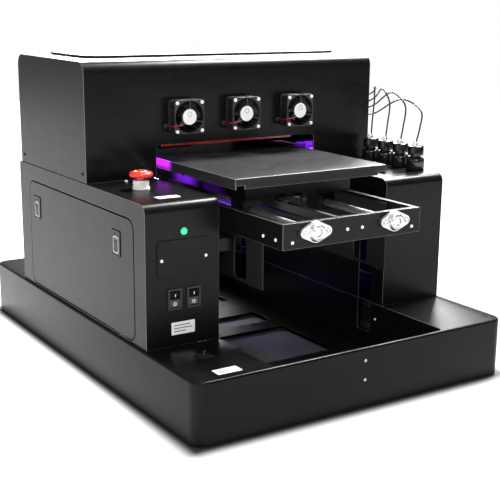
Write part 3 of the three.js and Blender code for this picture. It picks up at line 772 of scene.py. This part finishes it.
# ---------- guides, lift and bed drive ----------
def ground_rods():
    for side in ("left", "right"):
        xs, ys, zs = span(f"rod_{side}")
        bm = bmesh.new()
        turned(bm, rod_profile(6, ys[1] - ys[0]), "+y", (middle(xs), ys[0], middle(zs)))
        piece(f"bed_rod_{side}", bm, "chrome", "lift_frame", replaces=[f"rod_{side}"])
        xs, ys, zs = span(f"guide_shaft_{side}")
        bm = bmesh.new()
        turned(bm, rod_profile(6, zs[1] - zs[0]), "+z", (middle(xs), middle(ys), zs[0]))
        piece(f"lift_shaft_{side}", bm, "chrome_z", "chassis", replaces=[f"guide_shaft_{side}"])


LEAD = 4.0          # pitch of the lead screws
THREAD_DEPTH = 1.3
PLAIN_END = 6.0     # unthreaded stretch at each end


def lead_screw(side):
    xs, ys, zs = span(f"lead_screw_{side}")
    x, y = middle(xs), middle(ys)
    sides, step = 20, 0.5
    low, high = zs[0] + PLAIN_END, zs[1] - PLAIN_END
    rows = int((high - low) / step)
    shank = shifted(circle(5.2, sides), x, y)
    bm = bmesh.new()
    rings = [[(u, v, level) for u, v in shank] for level in (zs[0], low - 0.4)]
    for row in range(rows + 1):
        level = low + row * step
        ring = []
        for i in range(sides):
            phase = (level / LEAD - i / sides) % 1
            flank = min(1, max(0, (abs(phase - 0.5) - 0.14) / 0.16))
            r = 6 - THREAD_DEPTH * flank
            a = 2 * math.pi * i / sides
            ring.append((x + r * math.cos(a), y + r * math.sin(a), level))
        rings.append(ring)
    rings += [[(u, v, level) for u, v in shank] for level in (high + 0.4, zs[1])]
    loft(bm, rings)
    node = f"lead_screw_{side}"
    piece(f"lift_screw_{side}", bm, "screw", node, replaces=[node], smooth=60)


def flange_bearing(side):
    """A cast eye-shaped flange with its boss, the ring round the rod, two bolts and two set screws."""
    xs, ys, zs = span(f"flange_bearing_{side}")
    x, z, back = middle(xs), middle(zs), ys[1]
    ear, ear_r, body_r = 22, 8, 17
    lean = math.degrees(math.acos((body_r - ear_r) / ear))
    outline = arc(x + ear, z, ear_r, -lean, lean, 10) + arc(x, z, body_r, lean, 180 - lean, 12)
    outline += arc(x - ear, z, ear_r, 180 - lean, 180 + lean, 10)
    outline += arc(x, z, body_r, 180 + lean, 360 - lean, 12)
    bm = bmesh.new()
    slab(bm, outline, "y", back - 7.2, back)
    turned(bm, [(6.3, 6.8), (16.2, 6.8), (15.2, 8.4), (14.1, 9.6), (13.4, 12.4), (12.4, 13.6),
                (10.4, 14.4), (10, 13.2), (6.3, 13.2)], "-y", (x, back, z), 64, wrap=True)
    for s in (-1, 1):
        turned(bm, [(0, 7), (6.4, 7), (6, 8.4), (0, 8.4)], "-y", (x + s * ear, back, z), 32)
    piece(f"bearing_housing_{side}", bm, "zinc", "lift_frame", edge=0.9, smooth=40,
          replaces=[f"flange_bearing_{side}"])
    bm = bmesh.new()
    turned(bm, [(6.15, 12.4), (9.4, 12.4), (9.4, 13.9), (8.8, 14.5), (6.5, 14.5), (6.15, 14.1)], "-y",
           (x, back, z), 48, wrap=True)
    piece(f"bearing_ring_{side}", bm, "chrome", "lift_frame")
    bm = bmesh.new()
    for s in (-1, 1):
        centre = (x + s * ear, back - 8.4, z)
        turned(bm, [(0, 0), (4.6, 0), (4.6, 0.7), (0, 0.7)], "-y", centre, 32)
        turned(bm, [(0, 0.6), (3.9, 0.6), (3.9, 2.9), (3.5, 3.3), (2.1, 3.4), (1.9, 1.8), (0, 1.6)], "-y",
               centre, 24)
    for lean_x in (-1, 1):
        a = math.radians(90 + lean_x * 42)
        place = (x + 12.6 * math.cos(a), back - 11, z + 12.6 * math.sin(a))
        turned(bm, [(0, 0), (1.9, 0), (1.9, 1.2), (1.1, 1.3), (1, 0.5), (0, 0.4)], "+z", place, 16)
    piece(f"bearing_bolts_{side}", bm, "screw", "lift_frame", smooth=40)


def bed_belt():
    """A toothed belt: its outline runs round both pulleys, with a tooth every two millimetres inside."""
    xs, ys, zs = span("bed_belt")
    z = middle(zs)
    outer_r = (zs[1] - zs[0]) / 2
    inner_r = outer_r - 1.4
    front, back = ys[0] + outer_r, ys[1] - outer_r
    straight, pitch = back - front, 2.0
    steps = int(straight / pitch) * 2
    outline, hole = [], []
    for i in range(steps):
        y = front + straight * i / steps
        outline.append((y, z - outer_r))
        hole.append((y, z - inner_r + (0.28 if i % 4 < 2 else 0)))
    for p, q in zip(arc(back, z, outer_r, -90, 90, 16)[:-1], arc(back, z, inner_r, -90, 90, 16)[:-1]):
        outline.append(p)
        hole.append(q)
    for i in range(steps):
        y = back - straight * i / steps
        outline.append((y, z + outer_r))
        hole.append((y, z + inner_r - (0.28 if i % 4 < 2 else 0)))
    for p, q in zip(arc(front, z, outer_r, 90, 270, 16)[:-1], arc(front, z, inner_r, 90, 270, 16)[:-1]):
        outline.append(p)
        hole.append(q)
    bm = bmesh.new()
    slab(bm, outline, "x", xs[0], xs[1], hole)
    piece("toothed_belt", bm, "rubber", "lift_frame", replaces=["bed_belt"], smooth=30)


def pulley(name):
    """A toothed pulley between two flanges on its shaft."""
    xs, ys, zs = span(name)
    y, z = middle(ys), middle(zs)
    bm = bmesh.new()
    teeth = []
    for i in range(72):
        a = 2 * math.pi * i / 72
        r = 8 if i % 3 else 7.4
        teeth.append((y + r * math.cos(a), z + r * math.sin(a)))
    slab(bm, teeth, "x", -4.4, 4.4)
    for start in (-5, 4.3):
        slab(bm, shifted(circle(10.6, 48), y, z), "x", start, start + 0.7)
    length = xs[1] - xs[0]
    turned(bm, [(0, 0), (2.2, 0), (2.5, 0.4), (2.5, length - 0.4), (2.2, length), (0, length)],
           "+x", (xs[0], y, z), 32)
    piece(name + "_toothed", bm, "aluminium", name, replaces=[name], smooth=30)


def stepper(node, body, axis):
    """A stepping motor: a black laminated middle between two grey end caps, with four long screws."""
    spans = dict(zip("xyz", span(node)))
    low, high = spans.pop(axis)
    (u0, u1), (v0, v1) = spans.values()
    u, v, half = (u0 + u1) / 2, (v0 + v1) / 2, (u1 - u0) / 2
    half_v = (v1 - v0) / 2
    length = high - low
    bm = bmesh.new()
    slab(bm, rounded(u, v, half - 0.6, half_v - 0.6, 5.5), axis, low + 0.22 * length, high - 0.22 * length)
    piece(node + "_stack", bm, "motor", body, "motor_black", edge=0.3, replaces=[node])
    bm = bmesh.new()
    slab(bm, rounded(u, v, half, half_v, 4), axis, low, low + 0.22 * length)
    slab(bm, rounded(u, v, half, half_v, 4), axis, high - 0.22 * length, high)
    piece(node + "_caps", bm, "aluminium", body, edge=0.5)
    spots = [(u + s * (half - 5), v + t * (half_v - 5)) for s in (-1, 1) for t in (-1, 1)]
    heads = [PLANE[axis](a, b, low) for a, b in spots]
    screws(node + "_screws", heads, "-" + axis, 2.3, "screw", body, 0.2)


# ---------- bed ----------
def bed_details():
    xs, ys, zs = span("bed_tray")
    bm = bmesh.new()
    for x in (-34, 2):
        turned(bm, [(0, 0), (5.5, 0), (6.8, 1), (7, 4), (6.2, 5.6), (3.2, 6), (3, 9), (0, 9)], "-z",
               (x, -245.8, 324), 32)
    for x in (-34, 2):
        block(bm, (x - 6, x + 6), (-246, -236.9), (324, 327))
    piece("bed_levelling_knobs", bm, "plastic", "bed", edge=0.4)
    spots = [(x, y, zs[1] - 0.4) for x in (-92, 92) for y in (-190, 76)]
    screws("bed_corner_screws", spots, "+z", 3.4, "black_screw", "bed", 0.5)
    frame_spots = [(-139, y, 289) for y in (-371, -336)]
    screws("frame_side_screws_left", frame_spots, "-x", 2.8, "bright_screw", "lift_frame", 1.6)
    screws("frame_side_screws_right", [(139, y, z) for _, y, z in frame_spots], "+x", 2.8, "bright_screw",
           "lift_frame", 1.6)
    front_spots = [(x, FRAME_FRONT, z) for x, z in ((-121, 286), (-14, 296), (16, 296), (121, 286))]
    screws("frame_front_screws", front_spots, "-y", 2.8, "bright_screw", "lift_frame", 1.6)
    rear_spots = [(x, FRAME_REAR, 300) for x in (-121, -80, 80, 121)]
    screws("frame_rear_screws", rear_spots, "+y", 2.8, "screw", "lift_frame", 1.6)


# ---------- ink bottles ----------
def ink_bottle(number):
    xs, ys, zs = span(f"ink_bottle_{number}")
    x, y, z = middle(xs), middle(ys), zs[0]
    bm = bmesh.new()
    turned(bm, [(0, 0), (14.6, 0), (16.4, 0.6), (17, 2.2), (17, 18.2), (16.6, 20.6), (15.4, 22.4),
                (13.4, 23.7), (11.2, 24.6), (9.7, 25.2), (9.5, 26), (9.5, 28.6), (0, 28.6)], "+z",
           (x, y, z), 64)
    piece(f"bottle_{number}", bm, "gloss_plastic", "chassis", replaces=[f"ink_bottle_{number}"])
    bm = bmesh.new()
    outline, top = [], []
    for i in range(72):
        a = 2 * math.pi * i / 72
        rib = 0.45 if i % 2 else 0
        outline.append((x + (14.8 - rib) * math.cos(a), y + (14.8 - rib) * math.sin(a)))
        top.append((x + (14.0 - rib) * math.cos(a), y + (14.0 - rib) * math.sin(a)))
    rings = [[(u, v, z + 28.2) for u, v in outline], [(u, v, z + 43.4) for u, v in outline],
             [(u, v, z + 45) for u, v in top]]
    smaller = [(x + (u - x) * 0.84, y + (v - y) * 0.84) for u, v in top]
    rings.append([(u, v, z + 45.7) for u, v in smaller])
    loft(bm, rings)
    piece(f"bottle_cap_{number}", bm, "gloss_plastic", "chassis", "black_plastic", smooth=50)
    bm = bmesh.new()
    turned(bm, [(0, 45), (4.6, 45), (4.6, 47.2), (3.6, 47.8), (3.3, 49.6), (2.5, 50.8), (0, 50.8)], "+z",
           (x, y, z), 32)
    piece(f"bottle_gland_{number}", bm, "plastic", "chassis", "black_plastic")
    bm = bmesh.new()
    turned(bm, [(0, 44.8), (3.4, 44.8), (3.4, 51.5), (2.6, 52.6), (2.4, 55.6), (1.6, 56.2), (0, 56.2)],
           "+z", (x - 8, y - 5, z), 32)
    piece(f"bottle_vent_{number}", bm, "white_plastic", "chassis")


# ---------- print mechanism ----------
def print_mechanism():
    xs, ys, zs = span("uv_lamp")
    bm = bmesh.new()
    block(bm, (xs[0], xs[1]), (ys[0], ys[1]), (zs[0] + 4, zs[0] + 16))
    for i in range(11):
        x = xs[0] + 0.6 + i * (xs[1] - xs[0] - 2.6) / 10
        block(bm, (x, x + 1.4), (ys[0] + 1, ys[1] - 1), (zs[0] + 15.5, zs[1]))
    piece("lamp_heat_sink", bm, "aluminium", "print_head", "zinc", edge=0.25, replaces=["uv_lamp"])
    bm = bmesh.new()
    block(bm, (xs[0] + 3, xs[1] - 3), (ys[0] + 3, ys[1] - 3), (zs[0] + 1.5, zs[0] + 4.2))
    piece("lamp_window", bm, "lamp_glass", "print_head", edge=0.4)
    bm = bmesh.new()
    outline = rounded(middle(xs), middle(ys), (xs[1] - xs[0]) / 2, (ys[1] - ys[0]) / 2, 2)
    hole = rounded(middle(xs), middle(ys), (xs[1] - xs[0]) / 2 - 2.6, (ys[1] - ys[0]) / 2 - 2.6, 1)
    slab(bm, outline, "z", zs[0], zs[0] + 4.4, hole)
    piece("lamp_rim", bm, "plastic", "print_head", "black_plastic", edge=0.3)

    xs, ys, zs = span("print_carriage")
    spots = [(x, ys[0], z) for x in (xs[0] + 6, xs[1] - 6) for z in (zs[0] + 14, zs[1] - 30)]
    screws("carriage_screws", spots, "-y", 2.4, "screw", "print_head")
    bm = bmesh.new()
    for i in range(5):
        z = zs[0] + 26 + 6 * i
        slab(bm, rounded(middle(xs), z, 26, 1.6, 1.5), "y", ys[0] - 0.5, ys[0] + 0.4)
    piece("carriage_ribs", bm, "plastic", "print_head", "black_plastic", edge=0.2)

    xs, ys, zs = span("print_beam")
    spots = [(xs[0] + 30 + i * (xs[1] - xs[0] - 60) / 16, ys[0] + 14, zs[1] - 20) for i in range(17)]
    screws("beam_screws", spots, "-y", 2.4, "screw", "chassis", 0.3)


def parking_station():
    """Where the print head rests: a tray with three capping pads, a wiper and three drain hoses."""
    top = CABINET_TOP + 0.3
    bm = bmesh.new()
    slab(bm, rounded(232, 38, 48, 30, 4), "z", top, top + 14)
    slab(bm, rounded(232, 38, 44, 26, 3), "z", top + 13.9, top + 20, rounded(232, 38, 41.5, 23.5, 3))
    piece("parking_tray", bm, "aluminium", "chassis", "zinc", edge=0.6)
    bm = bmesh.new()
    for i in range(3):
        x = 204 + 24 * i
        slab(bm, rounded(x, 38, 9, 19, 3), "z", top + 14, top + 24)
        slab(bm, rounded(x, 38, 8, 18, 2.5), "z", top + 23.9, top + 28, rounded(x, 38, 6.4, 16.4, 2))
    piece("capping_pads", bm, "rubber", "chassis", "black_rubber", edge=0.3)
    bm = bmesh.new()
    block(bm, (270, 272), (20, 56), (top + 14, top + 32))
    block(bm, (267, 275), (18, 58), (top + 13.9, top + 21))
    piece("wiper_blade", bm, "plastic", "chassis", "black_plastic", edge=0.3)
    for i in range(3):
        x = 204 + 24 * i
        route = [(x, 10, top + 8), (x, -2, top + 9), (x + 4, -10, top + 5), (x + 16, -14, top + 2.6),
                 (x + 30, -16, top + 2.4)]
        wire(f"drain_hose_{i + 1}", route, 3.6, "tube", "chassis")


# ---------- chassis hardware ----------
def chassis_hardware():
    for name in ("front_left", "front_right", "rear_left", "rear_right"):
        xs, ys, zs = span(f"foot_{name}")
        bm = bmesh.new()
        top = zs[1] - zs[0]
        turned(bm, [(0, 0.6), (5, 0.6), (5.6, 0), (17.6, 0), (19, 0.7), (19.8, 2.2), (19.4, top), (0, top)],
               "+z", (middle(xs), middle(ys), zs[0]), 56)
        piece(f"rubber_foot_{name}", bm, "rubber", "chassis", replaces=[f"foot_{name}"])
    right_spots = [(CABINET_RIGHT, y, z) for y in (-245, 255) for z in (120, 325)]
    screws("right_cabinet_side_screws", right_spots, "+x", 2.8, "black_screw", "chassis")
    rear_spots = [(x, CABINET_REAR, z) for x in (-296, -190, 190, 296) for z in (122, 322)]
    screws("cabinet_rear_screws", rear_spots, "+y", 2.8, "black_screw", "chassis")
    hood_spots = [(x, 265, z) for x in (-292, -100, 100, 292) for z in (430, 520)]
    screws("hood_rear_screws", hood_spots, "+y", 2.8, "black_screw", "chassis")
    side_spots = [(-HOOD_SIDE, y, 356) for y in (-25, 250)]
    screws("hood_side_screws", side_spots, "-x", 2.8, "black_screw", "chassis")
    screws("top_clip_screw", [(-236, -49, CABINET_TOP)], "+z", 3.2, "bright_screw", "chassis", 2.2)
    deck_spots = [(-183.5, y, DECK_TOP) for y in (-250, 230)]
    screws("deck_screws", deck_spots, "+z", 2.6, "black_screw", "chassis", 0.8)
    front_spots = [(2, -427.6, z) for z in (50, 83)]
    screws("base_front_screws", front_spots, "-y", 2.6, "bright_screw", "chassis", 0.5)
    bay_spots = [(174.5, -242, z) for z in (75, 176)]
    screws("bay_screws", bay_spots, "-x", 2.6, "bright_screw", "chassis", 1.4)


def door_details():
    """Each flush latch gets its finger plate and a thin bright outline."""
    for name in ("front", "rear"):
        xs, ys, zs = span(f"latch_{name}")
        y, z = middle(ys), middle(zs)
        bm = bmesh.new()
        slab(bm, rounded(y, z + 8.5, 5.2, 5.8, 2), "x", xs[0] + 0.1, xs[0] + 1.4)
        piece(f"latch_paddle_{name}", bm, "wire_black", f"latch_{name}", edge=0.4)
        bm = bmesh.new()
        outer, inner = rounded(y, z - 4, 9.5, 13.5, 3), rounded(y, z - 4, 8.7, 12.7, 2.6)
        slab(bm, outer, "x", xs[0] - 0.02, xs[0] + 0.6, inner)
        piece(f"latch_outline_{name}", bm, "screw", f"latch_{name}")


# ---------- floor and light ----------
def make_floor():
    """A white sweep: it glows all round the machine's footprint, more to the left and far out in front;
    under the footprint it is a darker grey, a painted shade.
    """
    n = Nodes("studio_floor")
    n.shader.inputs["Roughness"].default_value = 0.8
    side = n.add("ShaderNodeVectorMath", operation="DOT_PRODUCT")
    side.inputs[1].default_value = (-1.0, 0.45, 0)
    n.link(n.place, side.inputs[0])
    fold = n.add("ShaderNodeVectorMath", operation="ABSOLUTE")
    beyond = n.add("ShaderNodeVectorMath", operation="SUBTRACT")
    beyond.inputs[1].default_value = (0.315, 0.428, 0)
    outside = n.add("ShaderNodeVectorMath", operation="MAXIMUM")
    outside.inputs[1].default_value = (0, 0, 0)
    away = n.add("ShaderNodeVectorMath", operation="LENGTH")
    n.link(n.place, fold.inputs[0])
    n.link(fold.outputs["Vector"], beyond.inputs[0])
    n.link(beyond.outputs["Vector"], outside.inputs[0])
    n.link(outside.outputs["Vector"], away.inputs[0])
    # Darker grey under the footprint and just round it: painted shade under the machine.
    n.link(n.ramp(away.outputs["Value"], (0.04, 0.04, 0.04), (0.08, 0.08, 0.08), 0.0, 0.03),
           n.shader.inputs["Base Color"])
    near = n.span(away.outputs["Value"], 0.0, 0.032, 1.05)
    left = n.span(side.outputs["Value"], 0.12, 0.34, 0.8)
    front = n.add("ShaderNodeVectorMath", operation="DOT_PRODUCT")
    front.inputs[1].default_value = (0, -1.0, 0)
    n.link(n.place, front.inputs[0])
    far = n.span(front.outputs["Value"], 0.8, 2.2, 2.2)
    total = n.add("ShaderNodeMath", operation="MULTIPLY_ADD")
    n.link(left, total.inputs[0])
    n.link(near, total.inputs[1])
    both = n.add("ShaderNodeMath", operation="ADD")
    n.link(near, both.inputs[0])
    n.link(far, both.inputs[1])
    n.link(both.outputs["Value"], total.inputs[2])
    n.shader.inputs["Emission Color"].default_value = (1, 1, 1, 1)
    n.link(total.outputs["Value"], n.shader.inputs["Emission Strength"])
    bm = bmesh.new()
    bmesh.ops.create_circle(bm, cap_ends=True, segments=96, radius=5.0)
    mesh = bpy.data.meshes.new("studio_floor")
    bm.to_mesh(mesh)
    bm.free()
    mesh.materials.append(n.material)
    floor = bpy.data.objects.new("studio_floor", mesh)
    bpy.context.scene.collection.objects.link(floor)


def area_light(name, place, target, size, power, colour=(1, 1, 1)):
    data = bpy.data.lights.new(name, "AREA")
    data.shape = "RECTANGLE"
    data.size, data.size_y = size
    data.energy = power
    data.color = colour
    lamp = bpy.data.objects.new(name, data)
    bpy.context.scene.collection.objects.link(lamp)
    lamp.location = Vector(place)
    aim = Vector(target) - Vector(place)
    lamp.rotation_mode = "QUATERNION"
    lamp.rotation_quaternion = aim.to_track_quat("-Z", "Y")
    lamp.visible_camera = False
    return lamp


def lamp_glow(name, place, way, size, power, colour, spread):
    """A small coloured light by the ultraviolet lamp; only what it falls on shows."""
    lamp = area_light(name, place, Vector(place) + Vector(way), size, power, colour)
    lamp.data.spread = math.radians(spread)


def make_world():
    """White to the camera, and a soft dome that is brighter behind and to the left than in front."""
    world = bpy.data.worlds.new("studio")
    bpy.context.scene.world = world
    world.use_nodes = True
    tree = world.node_tree
    tree.nodes.clear()
    add = tree.nodes.new
    coord = add("ShaderNodeTexCoord")
    dot = add("ShaderNodeVectorMath")
    dot.operation = "DOT_PRODUCT"
    dot.inputs[1].default_value = Vector((-0.62, 0.55, 0.56)).normalized()
    ramp = add("ShaderNodeValToRGB")
    ramp.color_ramp.elements[0].position = 0.25
    ramp.color_ramp.elements[0].color = (0.03, 0.03, 0.03, 1)
    ramp.color_ramp.elements[1].position = 0.85
    ramp.color_ramp.elements[1].color = (0.3, 0.3, 0.3, 1)
    half = add("ShaderNodeMapRange")
    half.inputs["From Min"].default_value = -1
    dome = add("ShaderNodeBackground")
    dome.inputs["Strength"].default_value = 1.1
    white = add("ShaderNodeBackground")
    white.inputs["Color"].default_value = (1, 1, 1, 1)
    path = add("ShaderNodeLightPath")
    mix = add("ShaderNodeMixShader")
    out = add("ShaderNodeOutputWorld")
    link = tree.links.new
    link(coord.outputs["Generated"], dot.inputs[0])
    link(dot.outputs["Value"], half.inputs["Value"])
    link(half.outputs["Result"], ramp.inputs["Fac"])
    link(ramp.outputs["Color"], dome.inputs["Color"])
    link(path.outputs["Is Camera Ray"], mix.inputs[0])
    link(dome.outputs[0], mix.inputs[1])
    link(white.outputs[0], mix.inputs[2])
    link(mix.outputs[0], out.inputs["Surface"])


def make_light():
    make_world()
    area_light("key_left", (-2.5, -0.5, 1.0), (0, 0, 0.25), (2.4, 1.4), 12)
    area_light("bend_bank", (1.3, 0.2, 2.2), (0, 0, 0.35), (0.8, 0.8), 250)
    area_light("back_panel", (1.0, 1.45, 1.3), (0, 0, 0.55), (1.7, 0.5), 120)
    area_light("front_fill", (-0.9, -2.6, 2.4), (0, 0, 0.45), (1.6, 1.0), 66)
    violet, magenta = (0.26, 0.02, 1.0), (0.62, 0.02, 1.0)
    lamp_glow("glow_bed_side", mm(-171.5, -32, 368), (1, 0, -0.2), (0.055, 0.008), 0.17, magenta, 75)
    lamp_glow("glow_under_bed", mm(-150, -30, 337), (1, 0, -0.1), (0.060, 0.008), 0.7, violet, 75)
    lamp_glow("glow_frame", mm(-150, -130, 334), (1, 0, -0.1), (0.060, 0.006), 0.06, violet, 60)
    lamp_glow("glow_cabinet_edge", mm(-171, -110, 335.5), (-1, 0, 1), (0.160, 0.004), 0.5,
              (0.85, 0.75, 1.0), 30)
    lamp_glow("glow_parking", mm(232, 20, 440), (0, 0.1, -1), (0.08, 0.08), 2.0, violet, 75)
    bpy.context.scene.view_settings.view_transform = "Standard"


dress_cad()
ink_tubes()
for number in (1, 2, 3):
    fan_frame(number)
    fan_rotor(number)
    fan_trim(number)
control_knob()
start_button()
cover()
for number in (1, 2):
    rocker_switch(number)
deck_lever()
stickers()
ground_rods()
for side in ("left", "right"):
    lead_screw(side)
    flange_bearing(side)
    stepper(f"lift_motor_{side}", "chassis", "z")
bed_belt()
pulley("drive_pulley")
pulley("idler_pulley")
stepper("bed_motor", "lift_frame", "x")
bed_details()
for number in (1, 2, 3, 4):
    ink_bottle(number)
print_mechanism()
parking_station()
chassis_hardware()
door_details()
make_floor()
make_light()
